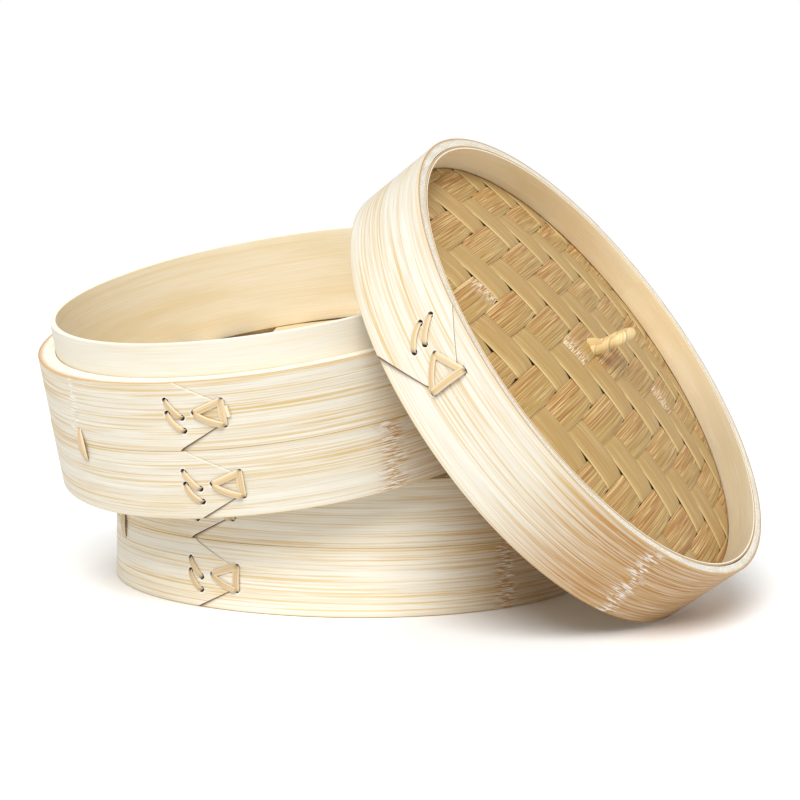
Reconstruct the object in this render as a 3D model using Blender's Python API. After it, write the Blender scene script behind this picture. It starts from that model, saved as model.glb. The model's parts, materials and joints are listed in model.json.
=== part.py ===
"""A bamboo steamer basket: two nesting tiers and a domed woven lid.

The upper tier lies tilted on the collar of the lower one, and the lid leans over both with its
rim on the table. Metres, +Z up. The origin is under the middle of the whole group, on the table.
Each tier and the lid is built upright in a frame of its own, with its axis on Z, its lower edge
at Z = 0 and the tip of its lapped hoop at angle 0, and is then placed by an empty.
"""

import math

import bmesh
import bpy
from mathutils import Matrix, Vector

MM = 0.001
GAP = 0.3 * MM  # between pieces that touch
MERGE = 0.001 * MM
SMOOTH_ANGLE = math.radians(40)
CUT_PAST = 3 * MM  # how far a cutter runs past the face that it opens
CUT_STEP = 1 * MM  # between the faces of cutters that overlap
BLOCK_SIDES = ((0, 1, 2, 3), (4, 5, 6, 7), (0, 1, 5, 4), (1, 2, 6, 5), (2, 3, 7, 6), (3, 0, 4, 7))

# Every hoop is turned about the basket's axis.
OUTER_RADIUS = 125 * MM
TIER_BAND_BORE = 117 * MM  # the recess that drops over the collar below
RING_STEPS = 64

# A tier: two stacked bands outside, and an inner hoop that stands proud as a collar.
BAND_HEIGHT = 33 * MM
TIER_WALL_TOP = 2 * BAND_HEIGHT
COLLAR_TOP = 81.8 * MM
COLLAR_RADIUS = 115.7 * MM
COLLAR_WALL = 3 * MM

# The tier's floor: slats across two flat bars, whose ends sit in mortises in the lower band.
BAR_BOTTOM = 24.2 * MM
BAR_THICKNESS = 3.6 * MM
BAR_WIDTH = 12 * MM
BAR_HALF_LENGTH = 114 * MM
BAR_OFFSET = 40 * MM
SLAT_COUNT = 11
SLAT_PITCH = 20.6 * MM
SLAT_WIDTH = 16.4 * MM
SLAT_THICKNESS = 2.2 * MM
SLAT_REACH = 116.4 * MM  # radius that the slats' corners stay inside
FLOOR_ANGLE = math.radians(90)  # of the slats, from the lap's tip

# Ties that bind the two bands of a tier together across their seam.
TIE_ANGLES = [math.radians(a) for a in (-41.5, -91.5, 88.5, 138.5)]
TIE_WIDTH = 3.4 * MM
TIE_THICKNESS = 1.2 * MM
TIE_BOTTOM = 23.6 * MM
TIE_TOP = 41.4 * MM
TIE_INSIDE = 117.3 * MM

# The lacing at a hoop's lap, in one flat pattern: along the hoop and up from the lap's middle.
STRIP_WIDTH = 3.2 * MM
STRIP_THICKNESS = 1.1 * MM
LEG_WIDTH = 1.8 * MM
LEG_HOLE = 2.8 * MM
LEG_OVERLAP = 0.2 * MM
STAGGER = 0.12 * MM  # between strips that cross
OUTSIDE_LIFT = 1.5 * GAP  # of the strips off the band's face
INSIDE_LIFT = 3 * GAP
POCKET_DEPTH = 2.2 * MM
POCKET_STEPS = 8
SLANT_SETBACK = 20.4 * MM  # of the slanted stitches' near ends from the tip
SLANT_OUTER_HEIGHT = 7.4 * MM
SLANT_INNER_HEIGHT = 1.1 * MM
TRIANGLE_SETBACK = 14.4 * MM
TRIANGLE_HEIGHT = 0.9 * MM
TIER_TIP_HALF = 6.3 * MM
TIER_SLANT_RUN = 7.2 * MM
LID_TIP_HALF = 8.7 * MM
LID_SLANT_RUN = 9.6 * MM
UPPER_LAP_SHIFT = -2.6 * MM  # the upper band's lap against the lower band's
LOWER_LAP_HEIGHT = 15.8 * MM
UPPER_LAP_HEIGHT = 50.4 * MM

# The lid: an outer hoop, and a mat caught by its edge between two inner hoops.
LID_HEIGHT = 43.7 * MM
LID_BAND_BORE = 120.5 * MM
LID_HOOP_BORE = 118.6 * MM
LID_HOOP_FOOT = 3 * MM  # the lower hoop stands back from the lid's edge
MAT_EDGE_TOP = 27.7 * MM
MAT_THICKNESS = 2 * MM
MAT_RISE = 14.5 * MM
MAT_RADIUS = 119.9 * MM
MAT_RINGS = 7
LID_LAP_HEIGHT = 24.8 * MM

# The loop handle: two feet through the mat and a round arch.
HANDLE_THICKNESS = 5.8 * MM
HANDLE_HALF_SPAN = 8 * MM
HANDLE_ARCH_CENTRE = 10 * MM  # above the line through the feet
HANDLE_PLACE = Vector((-6.7, -2.3, 0)) * MM  # of its middle, from the lid's axis
HANDLE_FOOT_DEPTH = 1.8 * MM
HANDLE_HOLE_RADIUS = 3.7 * MM
HANDLE_ANGLE = math.radians(192.9)
HANDLE_LEAN = math.radians(12)
HANDLE_ARCH_STEPS = 16
HANDLE_SIDE_STEPS = 3  # of the round section, in each quarter
HANDLE_HOLE_SIDES = 16

# Where each piece of the group stands.
LOWER_PLACE = Vector((-23.55, 44.71, 0)) * MM
LOWER_SPIN = math.radians(-115.3)
UPPER_PLACE = LOWER_PLACE + Vector((-25.5, -27.4, 76.8)) * MM
UPPER_TILT = math.radians(13.8)
UPPER_TILT_TOWARDS = math.radians(-132.7)
UPPER_SPIN = math.radians(-100.3)
LID_PLACE = LOWER_PLACE + Vector((87.8, -82.1, 100.8)) * MM
LID_TILT = math.radians(53.6)
LID_TILT_TOWARDS = math.radians(-27.6)
LID_SPIN = math.radians(-120.3)

# Colour and roughness of each kind of bamboo.
HOOP_LOOK = ((0.80, 0.63, 0.38), 0.45)
COLLAR_LOOK = ((0.85, 0.74, 0.52), 0.5)
SLAT_LOOK = ((0.62, 0.45, 0.24), 0.55)
MAT_LOOK = ((0.48, 0.36, 0.14), 0.5)
LACING_LOOK = ((0.72, 0.52, 0.26), 0.5)
HANDLE_LOOK = ((0.66, 0.47, 0.20), 0.5)


def clear_scene():
    for obj in list(bpy.data.objects):
        bpy.data.objects.remove(obj, do_unlink=True)


def bamboo(name, look):
    colour, roughness = look
    material = bpy.data.materials.get(name) or bpy.data.materials.new(name)
    material.use_nodes = True
    shader = material.node_tree.nodes["Principled BSDF"]
    shader.inputs["Base Color"].default_value = (*colour, 1)
    shader.inputs["Roughness"].default_value = roughness
    shader.inputs["Metallic"].default_value = 0
    return material


def add_object(name, data, parent, material=None):
    obj = bpy.data.objects.new(name, data)
    bpy.context.collection.objects.link(obj)
    obj.parent = parent
    if material:
        data.materials.append(material)
    return obj


def hide_helper(obj):
    obj.hide_render = True
    obj.display_type = "WIRE"
    return obj


def leaning(tilt, towards, spin):
    """The turn of a piece whose axis leans by tilt towards a compass direction."""
    lean_axis = Vector((-math.sin(towards), math.cos(towards), 0))
    return Matrix.Rotation(tilt, 4, lean_axis) @ Matrix.Rotation(spin, 4, "Z")


def place_empty(name, place, turn, parent=None):
    empty = add_object(name, None, parent)
    empty.matrix_local = Matrix.Translation(place) @ turn
    return empty


def mesh_from(bm, name, smooth_angle=None):
    bmesh.ops.recalc_face_normals(bm, faces=bm.faces)
    mesh = bpy.data.meshes.new(name)
    bm.to_mesh(mesh)
    bm.free()
    if smooth_angle:
        mesh.shade_smooth()
        mesh.set_sharp_from_angle(angle=smooth_angle)
    return mesh


def turned(name, outline, parent, material):
    """A solid of revolution from a closed outline of (radius, height) points."""
    bm = bmesh.new()
    points = [bm.verts.new((radius, 0, height)) for radius, height in outline]
    edges = [bm.edges.new((a, b)) for a, b in zip(points, points[1:] + points[:1])]
    bmesh.ops.spin(
        bm,
        geom=points + edges,
        axis=(0, 0, 1),
        cent=(0, 0, 0),
        angle=2 * math.pi,
        steps=RING_STEPS,
        use_merge=True,
    )
    bmesh.ops.remove_doubles(bm, verts=bm.verts, dist=MERGE)
    bmesh.ops.dissolve_degenerate(bm, dist=MERGE, edges=bm.edges)
    on_axis = [e for e in bm.edges if all(v.co.xy.length < MERGE for v in e.verts)]
    bmesh.ops.delete(bm, geom=on_axis, context="EDGES")
    return add_object(name, mesh_from(bm, name, SMOOTH_ANGLE), parent, material)


def hoop(name, inner, outer, bottom, top, parent, material):
    outline = [(inner, bottom), (outer, bottom), (outer, top), (inner, top)]
    return turned(name, outline, parent, material)


def add_block(bm, corners):
    """A closed six-sided block from its four lower corners and the four above them."""
    verts = [bm.verts.new(corner) for corner in corners]
    for side in BLOCK_SIDES:
        bm.faces.new([verts[i] for i in side])


def box_corners(low, high):
    (x0, y0, z0), (x1, y1, z1) = low, high
    base = [(x0, y0), (x1, y0), (x1, y1), (x0, y1)]
    return [(x, y, z) for z in (z0, z1) for x, y in base]


def on_wall(along, height, radius):
    """The point a distance along the hoop from its lap's tip, at a height and a radius."""
    angle = along / OUTER_RADIUS
    return (radius * math.cos(angle), radius * math.sin(angle), height)


def strip_corners(start, end, width, inner, outer):
    """A flat strip laid on the hoop from start to end, running half its width past both."""
    run = (Vector(end) - Vector(start)).normalized() * width / 2
    side = Vector((-run.y, run.x))
    first = Vector(start) - run
    last = Vector(end) + run
    flat = [first - side, last - side, last + side, first + side]
    return [on_wall(p.x, p.y, radius) for radius in (inner, outer) for p in flat]


def hole_corners(spot, size, inner, outer):
    """A square peg through the wall at one spot of the lap."""
    half = size / 2
    square = ((-half, -half), (half, -half), (half, half), (-half, half))
    return [on_wall(spot[0] + x, spot[1] + z, radius) for radius in (inner, outer) for x, z in square]


def add_pocket(bm, pattern, inner, outer):
    """A curved block behind a lap's holes, in steps along the hoop."""
    left = min(x for x, _ in pattern) - STRIP_WIDTH
    right = max(x for x, _ in pattern) + STRIP_WIDTH
    bottom = min(z for _, z in pattern) - STRIP_WIDTH
    top = max(z for _, z in pattern) + STRIP_WIDTH
    section = ((bottom, inner), (bottom, outer), (top, outer), (top, inner))
    rings = []
    for step in range(POCKET_STEPS + 1):
        x = left + (right - left) * step / POCKET_STEPS
        rings.append([bm.verts.new(on_wall(x, z, radius)) for z, radius in section])
    for ring, following in zip(rings, rings[1:]):
        for i in range(4):
            j = (i + 1) % 4
            bm.faces.new((ring[i], ring[j], following[j], following[i]))
    bm.faces.new(rings[0])
    bm.faces.new(rings[-1])


def cut(obj, name, bm):
    """Cuts the closed shapes in the bmesh out of the object."""
    cutter = hide_helper(add_object(name, mesh_from(bm, name), obj.parent))
    modifier = obj.modifiers.new(name, "BOOLEAN")
    modifier.operation = "DIFFERENCE"
    modifier.solver = "EXACT"
    modifier.use_self = True
    modifier.object = cutter


def lap_pattern(middle, half_tip, slant):
    """The seven holes of a lap's lacing: two slanted stitches, then a triangle at the tip."""
    along, height = middle
    near = along - SLANT_SETBACK
    return [
        (near - slant, height + SLANT_OUTER_HEIGHT),
        (near, height - SLANT_INNER_HEIGHT),
        (near - slant, height + SLANT_INNER_HEIGHT),
        (near, height - SLANT_OUTER_HEIGHT),
        (along - TRIANGLE_SETBACK, height + TRIANGLE_HEIGHT),
        (along, height + half_tip),
        (along, height - half_tip),
    ]


def lace_lap(name, band, bore, pattern, material):
    """Holes and a pocket in the band at its lap, and the strip laced through them."""
    bm = bmesh.new()
    add_pocket(bm, pattern, bore - CUT_PAST, bore + POCKET_DEPTH)
    for spot in pattern:
        add_block(bm, hole_corners(spot, LEG_HOLE, bore + CUT_STEP, OUTER_RADIUS + CUT_PAST))
    cut(band, name + "_holes", bm)

    outside = [(0, 1), (2, 3), (4, 5), (5, 6), (6, 4)]
    inside = [(1, 2), (3, 4)]
    blocks = []
    for layer, (a, b) in enumerate(outside):
        low = OUTER_RADIUS + OUTSIDE_LIFT + layer * STAGGER
        high = low + STRIP_THICKNESS
        blocks.append(strip_corners(pattern[a], pattern[b], STRIP_WIDTH, low, high))
    for layer, (a, b) in enumerate(inside):
        low = bore + INSIDE_LIFT + layer * STAGGER
        high = low + STRIP_THICKNESS / 2
        blocks.append(strip_corners(pattern[a], pattern[b], LEG_WIDTH, low, high))
    leg_low = bore + INSIDE_LIFT + LEG_OVERLAP
    leg_high = OUTER_RADIUS + STRIP_THICKNESS
    blocks += [hole_corners(spot, LEG_WIDTH, leg_low, leg_high) for spot in pattern]
    join_blocks(name, blocks, band.parent, material)


def join_blocks(name, blocks, parent, material):
    """One body from blocks that overlap."""
    bm = bmesh.new()
    for corners in blocks[:-1]:
        add_block(bm, corners)
    obj = add_object(name, mesh_from(bm, name), parent, material)
    bm = bmesh.new()
    add_block(bm, blocks[-1])
    last = hide_helper(add_object(name + "_end", mesh_from(bm, name + "_end"), parent))
    modifier = obj.modifiers.new("join", "BOOLEAN")
    modifier.operation = "UNION"
    modifier.solver = "EXACT"
    modifier.use_self = True
    modifier.object = last
    return obj


def radial_frame(bm, angle, low, high, wall, width):
    """A rectangular loop standing in the radial plane, low and high its outer corners."""
    turn = Matrix.Rotation(angle, 4, "Z")
    loops = []
    for y in (-width / 2, width / 2):
        for inset in (0, wall):
            (r0, z0), (r1, z1) = [c + inset for c in low], [c - inset for c in high]
            corners = ((r0, z0), (r1, z0), (r1, z1), (r0, z1))
            loops.append([bm.verts.new(turn @ Vector((r, y, z))) for r, z in corners])
    near_outer, near_inner, far_outer, far_inner = loops
    faces = ((near_outer, near_inner), (far_outer, far_inner))
    edges = ((near_outer, far_outer), (near_inner, far_inner))
    for i in range(4):
        j = (i + 1) % 4
        for one, other in faces + edges:
            bm.faces.new((one[i], one[j], other[j], other[i]))


def tie(name, angle, parent, material):
    bm = bmesh.new()
    high = (OUTER_RADIUS + GAP + TIE_THICKNESS, TIE_TOP)
    radial_frame(bm, angle, (TIE_INSIDE, TIE_BOTTOM), high, TIE_THICKNESS, TIE_WIDTH)
    return add_object(name, mesh_from(bm, name), parent, material)


def cut_tie_grooves(band):
    """The holes above and below the seam, and the groove inside that the tie lies in."""
    bm = bmesh.new()
    inside = COLLAR_RADIUS - CUT_PAST
    outside = OUTER_RADIUS + CUT_PAST
    back = TIE_INSIDE + TIE_THICKNESS + GAP
    bottom, top = TIE_BOTTOM - GAP, TIE_TOP + GAP
    half = TIE_WIDTH / 2 + GAP
    hole = TIE_THICKNESS + 2 * GAP
    for angle in TIE_ANGLES:
        turn = Matrix.Rotation(angle, 4, "Z")
        for corners in (
            box_corners((inside, -half, bottom), (back, half, top)),
            box_corners((inside + CUT_STEP, -half, bottom), (outside, half, bottom + hole)),
            box_corners((inside + CUT_STEP, -half, top - hole), (outside, half, top)),
        ):
            add_block(bm, [turn @ Vector(corner) for corner in corners])
    cut(band, band.name + "_tie_grooves", bm)


def floor_point(along, across, height):
    """A point of the floor from its place along and across the slats."""
    turn = Matrix.Rotation(FLOOR_ANGLE, 4, "Z")
    return turn @ Vector((along, across, height))


def floor_block(name, low, high, parent, material):
    bm = bmesh.new()
    add_block(bm, [floor_point(*corner) for corner in box_corners(low, high)])
    return add_object(name, mesh_from(bm, name), parent, material)


def tier_bars(label, parent, lower_band):
    wood = bamboo("slat_bamboo", SLAT_LOOK)
    top = BAR_BOTTOM + BAR_THICKNESS
    mortises = bmesh.new()
    for number, side in enumerate((-1, 1), 1):
        near = side * BAR_OFFSET - BAR_WIDTH / 2
        far = side * BAR_OFFSET + BAR_WIDTH / 2
        low = (near, -BAR_HALF_LENGTH, BAR_BOTTOM)
        high = (far, BAR_HALF_LENGTH, top)
        floor_block(f"{label}_floor_bar_{number}", low, high, parent, wood)
        grown_low = [c - GAP for c in low]
        grown_high = [c + GAP for c in high]
        add_block(mortises, [floor_point(*c) for c in box_corners(grown_low, grown_high)])
    cut(lower_band, label + "_mortises", mortises)


def tier_slats(label, parent):
    wood = bamboo("slat_bamboo", SLAT_LOOK)
    bottom = BAR_BOTTOM + BAR_THICKNESS + GAP
    for number in range(SLAT_COUNT):
        across = (number - (SLAT_COUNT - 1) / 2) * SLAT_PITCH
        corner = abs(across) + SLAT_WIDTH / 2
        reach = math.sqrt(SLAT_REACH**2 - corner**2)
        low = (-reach, across - SLAT_WIDTH / 2, bottom)
        high = (reach, across + SLAT_WIDTH / 2, bottom + SLAT_THICKNESS)
        floor_block(f"{label}_slat_{number + 1}", low, high, parent, wood)


def build_tier(label, parent):
    hoop_wood = bamboo("hoop_bamboo", HOOP_LOOK)
    collar_wood = bamboo("collar_bamboo", COLLAR_LOOK)
    lacing_wood = bamboo("lacing_bamboo", LACING_LOOK)
    seam = BAND_HEIGHT
    floor_top = BAR_BOTTOM + BAR_THICKNESS + GAP + SLAT_THICKNESS
    upper_bore = COLLAR_RADIUS + GAP

    lower_top = seam - GAP / 2
    upper_bottom = seam + GAP / 2
    lower = hoop(label + "_lower_band", TIER_BAND_BORE, OUTER_RADIUS, 0, lower_top, parent, hoop_wood)
    upper = hoop(
        label + "_upper_band", upper_bore, OUTER_RADIUS, upper_bottom, TIER_WALL_TOP, parent, hoop_wood
    )
    inner = COLLAR_RADIUS - COLLAR_WALL
    bottom = floor_top + GAP
    hoop(label + "_inner_hoop", inner, COLLAR_RADIUS, bottom, COLLAR_TOP, parent, collar_wood)
    tier_bars(label, parent, lower)
    tier_slats(label, parent)
    lower_lap = lap_pattern((0, LOWER_LAP_HEIGHT), TIER_TIP_HALF, TIER_SLANT_RUN)
    upper_middle = (UPPER_LAP_SHIFT, UPPER_LAP_HEIGHT)
    upper_lap = lap_pattern(upper_middle, TIER_TIP_HALF, TIER_SLANT_RUN)
    lace_lap(label + "_lower_lacing", lower, TIER_BAND_BORE, lower_lap, lacing_wood)
    lace_lap(label + "_upper_lacing", upper, upper_bore, upper_lap, lacing_wood)
    cut_tie_grooves(lower)
    cut_tie_grooves(upper)
    for number, angle in enumerate(TIE_ANGLES, 1):
        tie(f"{label}_seam_tie_{number}", angle, parent, lacing_wood)


def mat_height(radius):
    """Height of the mat's top over the lid's lower edge, a shallow dome."""
    return MAT_EDGE_TOP + MAT_RISE * max(0, 1 - (radius / LID_HOOP_BORE) ** 2)


def mat_outline():
    bend = LID_HOOP_BORE - GAP
    radii = [bend * i / MAT_RINGS for i in range(MAT_RINGS + 1)]
    top = [(radius, mat_height(radius)) for radius in radii]
    edge = [(MAT_RADIUS, MAT_EDGE_TOP), (MAT_RADIUS, MAT_EDGE_TOP - MAT_THICKNESS)]
    bottom = [(radius, height - MAT_THICKNESS) for radius, height in reversed(top)]
    return top + edge + bottom


def build_handle(lid):
    """The loop leans to one side about the line through its feet, its parent's X axis."""
    root = HANDLE_PLACE + Vector((0, 0, mat_height(HANDLE_HALF_SPAN) - MAT_THICKNESS / 2))
    turn = Matrix.Rotation(HANDLE_ANGLE, 4, "Z") @ Matrix.Rotation(HANDLE_LEAN, 4, "X")
    pivot = place_empty("handle_pivot", root, turn, lid)
    points = [(-HANDLE_HALF_SPAN, -HANDLE_FOOT_DEPTH), (-HANDLE_HALF_SPAN, HANDLE_ARCH_CENTRE / 2)]
    for step in range(HANDLE_ARCH_STEPS + 1):
        angle = math.pi * (1 - step / HANDLE_ARCH_STEPS)
        x = HANDLE_HALF_SPAN * math.cos(angle)
        z = HANDLE_ARCH_CENTRE + HANDLE_HALF_SPAN * math.sin(angle)
        points.append((x, z))
    points += [(-x, z) for x, z in reversed(points[:2])]
    curve = bpy.data.curves.new("handle", "CURVE")
    curve.dimensions = "3D"
    spline = curve.splines.new("POLY")
    spline.points.add(len(points) - 1)
    for point, (x, z) in zip(spline.points, points):
        point.co = (x, 0, z, 1)
    curve.bevel_depth = HANDLE_THICKNESS / 2
    curve.bevel_resolution = HANDLE_SIDE_STEPS
    curve.use_fill_caps = True
    add_object("handle", curve, pivot, bamboo("handle_bamboo", HANDLE_LOOK))


def cut_handle_holes(mat):
    """Two round holes in the mat that the handle's feet stand in."""
    turn = Matrix.Rotation(HANDLE_ANGLE, 4, "Z")
    middle = mat_height(HANDLE_HALF_SPAN) - MAT_THICKNESS / 2
    bm = bmesh.new()
    for side in (-1, 1):
        hole = bmesh.ops.create_cone(
            bm,
            cap_ends=True,
            segments=HANDLE_HOLE_SIDES,
            radius1=HANDLE_HOLE_RADIUS,
            radius2=HANDLE_HOLE_RADIUS,
            depth=MAT_THICKNESS + 2 * CUT_PAST,
        )
        spot = HANDLE_PLACE + turn @ Vector((side * HANDLE_HALF_SPAN, 0, middle))
        bmesh.ops.translate(bm, verts=hole["verts"], vec=spot)
    cut(mat, "handle_holes", bm)


def build_lid(parent):
    hoop_wood = bamboo("hoop_bamboo", HOOP_LOOK)
    inner_radius = LID_BAND_BORE - GAP
    mat_bottom = MAT_EDGE_TOP - MAT_THICKNESS
    band = hoop("lid_band", LID_BAND_BORE, OUTER_RADIUS, 0, LID_HEIGHT, parent, hoop_wood)
    hoop("lid_lower_hoop", LID_HOOP_BORE, inner_radius, LID_HOOP_FOOT, mat_bottom - GAP, parent, hoop_wood)
    upper_foot = MAT_EDGE_TOP + GAP
    hoop("lid_upper_hoop", LID_HOOP_BORE, inner_radius, upper_foot, LID_HEIGHT, parent, hoop_wood)
    mat = turned("lid_mat", mat_outline(), parent, bamboo("mat_bamboo", MAT_LOOK))
    cut_handle_holes(mat)
    pattern = lap_pattern((0, LID_LAP_HEIGHT), LID_TIP_HALF, LID_SLANT_RUN)
    lace_lap("lid_lacing", band, LID_BAND_BORE, pattern, bamboo("lacing_bamboo", LACING_LOOK))
    build_handle(parent)


def main():
    clear_scene()
    upper_turn = leaning(UPPER_TILT, UPPER_TILT_TOWARDS, UPPER_SPIN)
    lid_turn = leaning(LID_TILT, LID_TILT_TOWARDS, LID_SPIN)
    lower = place_empty("lower_tier_frame", LOWER_PLACE, Matrix.Rotation(LOWER_SPIN, 4, "Z"))
    upper = place_empty("upper_tier_frame", UPPER_PLACE, upper_turn)
    lid = place_empty("lid_frame", LID_PLACE, lid_turn)
    build_tier("lower_tier", lower)
    build_tier("upper_tier", upper)
    build_lid(lid)
    bpy.context.view_layer.update()


main()
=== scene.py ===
"""Bamboo steamer: two tiers with a recessed foot and a raised collar, the upper one tipped, and a domed woven
lid that leans on them. Every band, hoop, stitch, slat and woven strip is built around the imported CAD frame.

Lengths are millimetres in each hoop's own frame: origin on its axis at its lower edge, +Z along its axis,
+X through the tip holes of its lap, and s along the hoop from there.
"""

import json
import math

import bpy
import bmesh
import numpy as np
from mathutils import Matrix, Vector


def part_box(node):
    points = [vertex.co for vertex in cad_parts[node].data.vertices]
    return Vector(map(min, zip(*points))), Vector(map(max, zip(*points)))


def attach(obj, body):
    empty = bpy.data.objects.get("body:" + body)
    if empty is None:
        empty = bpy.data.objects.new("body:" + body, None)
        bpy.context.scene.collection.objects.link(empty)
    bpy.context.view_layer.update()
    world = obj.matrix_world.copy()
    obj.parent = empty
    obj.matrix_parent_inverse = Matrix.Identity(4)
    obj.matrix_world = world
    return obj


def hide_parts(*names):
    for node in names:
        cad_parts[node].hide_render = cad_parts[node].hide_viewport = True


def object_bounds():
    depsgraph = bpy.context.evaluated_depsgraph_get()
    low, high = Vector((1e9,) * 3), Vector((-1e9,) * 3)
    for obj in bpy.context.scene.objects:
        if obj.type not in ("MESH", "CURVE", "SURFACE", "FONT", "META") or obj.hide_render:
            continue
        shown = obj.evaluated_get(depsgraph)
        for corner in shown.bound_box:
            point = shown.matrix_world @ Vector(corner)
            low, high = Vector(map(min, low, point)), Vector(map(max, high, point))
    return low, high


MM = 0.001
TURN = 2 * math.pi

# Hoops
EDGE = 0.3  # rounding of a band's edges
EDGE_STEPS = 3
FLAT_EDGE = 0.3 * EDGE  # what lies this close to a band's end face belongs to it
SEAM_FILL = 0.28  # how far the lower band reaches into the gap below the upper one
OUTER_WAVE = 0.12  # slow unevenness of a bent band
ROW_STEP = 1.3  # between points up a band's outer face
FINE_STEP = 0.42  # the same beside the lacing
ROW_GAP = 0.6  # at least, between the two kinds

COLLAR_GRAIN = (115.7, 74)  # (radius, middle height) that a lining's growth nodes are placed by
LID_LINING_GRAIN = (118.6, 36)

# Laps and their lacing
LAP_STEP = 0.45  # how far a lap's outer end stands above its inner end
LAP_GROOVE = 0.3
BUTT_GROOVE = 0.12  # on the inner end's side
LAP_FADE = 75  # length over which the two ends become one surface
LAP_REACH = 80  # length on each side of the ends over which the arrow's outline evens out
HOLE_RADIUS = 1.5
HOLE_DEPTH = 1.8
HOLE_RIM = 0.35  # over which a hole's edge falls away
# Round a strip, as (share of half its width, share of its thickness)
STRIP_SECTION = (
    (-1, -0.2), (-0.82, 0.35), (-0.4, 0.5), (0, 0.5), (0.4, 0.5), (0.82, 0.35), (1, -0.2), (0.8, -0.5),
    (-0.8, -0.5),
)
STITCH_WIDTH = 2.9
STITCH_REACH = 0.6  # how far a stitch runs past the middles of its two holes
STITCH_THICKNESS = 0.5
STITCH_DEPTH = 1.5  # of its ends below the band's face
STITCH_STEPS = (0, 0.02, 0.05, 0.09, 0.15, 0.24, 0.36, 0.5, 0.64, 0.76, 0.85, 0.91, 0.95, 0.98, 1)
LOOSE_WIDTH = 2.3
LOOSE_THICKNESS = 0.3
CAD_STITCH_HALF = 1.6  # from the tip holes to the right-hand edge of the CAD lacing
SLANT_RIGHT = -20.4  # the right-hand holes of the two slanted stitches
TRIANGLE_LEFT = (-13.7, 0.9)
# Arrow is the outline of a lap's outer end, as (height from the middle, s). Fine is how far from the middle
# the close rows of points reach. Upper_shade is how strong the painted shadow is along the arrow's upper
# edge.
TIER_LAP = {
    "half_tip": 5.7, "slant": 7.0, "fine": 9.6, "upper_shade": 0.0,
    "arrow": ((-16.5, -24.0), (-7.0, -5.0), (-3.5, 0.3), (0.0, 0.7), (3.5, 0.3), (7.0, -5.0), (16.5, -24.0)),
}
LID_LAP = {
    "half_tip": 8.7, "slant": 9.6, "fine": 11.8, "upper_shade": 0.55,
    "arrow": ((-24.8, -30.5), (-10.0, -4.5), (-5.0, 0.2), (0.0, 0.7), (3.0, 0.2), (8.0, -5.0), (18.9, -27.5)),
}

# The seam ties
TIE_WIDTH = 7.0
TIE_DEPTH = 1.4
TIE_STEPS = 22

# The floor
SLAT_BEVEL = 0.5
BAR_BEVEL = 0.7

# The lid's woven mat
MAT_CENTRE = (54.3, -25.6)  # middle of one raised stretch of a fibrous strip
FIBROUS_DIRECTION = math.radians(195.7)
SMOOTH_DIRECTION = math.radians(112.3)
FIBROUS_PITCH = 16.35
SMOOTH_PITCH = 18.2
FIBROUS_WIDTH = 16.7
SMOOTH_WIDTH = 18.5
WEAVE_HEIGHT = 0.9
STRIP_THICKNESS = 0.7
SMOOTH_GAPE = 2.0  # how far a strip draws back beside the place where it dives
FIBROUS_GAPE = 1.2
WEAVE_TURN = 0.24  # part of a crossing over which a strip changes sides
STRIPS_EACH_SIDE = 14  # of the middle one; those that miss the mat are left out
STRIP_STEP = 1.5  # between points along a strip
STRIP_SHARES = (-1, -0.95, -0.65, -0.3, 0, 0.3, 0.65, 0.95, 1)  # of half its width, for the points across it
STRIP_CROWN = 0.3  # how far its edges lie below its middle
STRIP_MARGIN = 3  # a strip that would show less than this is left out
LANE_MARGIN = 0.8
MAT_SINK = 1.0  # of the strips' middle below the CAD mat's top
EDGE_FADE = 4.5  # over which the weave flattens before the hoops
FRAY_REACH = 6.0
FRAYED_PLACES = {-1: [-0.2], 2: [1.2], 5: [4.3]}  # by the fibrous strip's index, in strips crossed

# The handle
WRAP_PITCH = 7.6
WRAP_STEP = 0.5
LOOP_SIDES = 32
LOOP_STEPS = 130
TAIL_LENGTH = 7.6
TAIL_STEPS = 10
TAIL_HEADING = (0.05, 0.5, -0.85)

# The camera, from the middle of the lower tier's foot, at the height of the table
CAMERA_PLACE = (24.34, -1056.89, 199.96)
CAMERA_LENS = 90.1
CAMERA_DOWN = 5.888  # degrees
CAMERA_ROLL = 0.679

# The studio
SUN_TURN = 10  # degrees left of straight behind the camera
SUN_RISE = 46
SUN_SPREAD = 35
SUN_STRENGTH = 2.6
ROOM_LIGHT = 0.6
FLOOR_BOUNCE = 0.85
FLOOR_SIDE = 12.0  # metres, from its middle
FLOOR_DROP = 0.0002  # metres below the group


def linear(colour):
    """A colour of three values from 0 to 255 as a shader takes it. Anything else stays as it is."""
    if not isinstance(colour, tuple) or len(colour) != 3:
        return colour
    values = [c / 255 for c in colour]
    return tuple(c / 12.92 if c <= 0.04045 else ((c + 0.055) / 1.055) ** 2.4 for c in values) + (1.0,)


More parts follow.
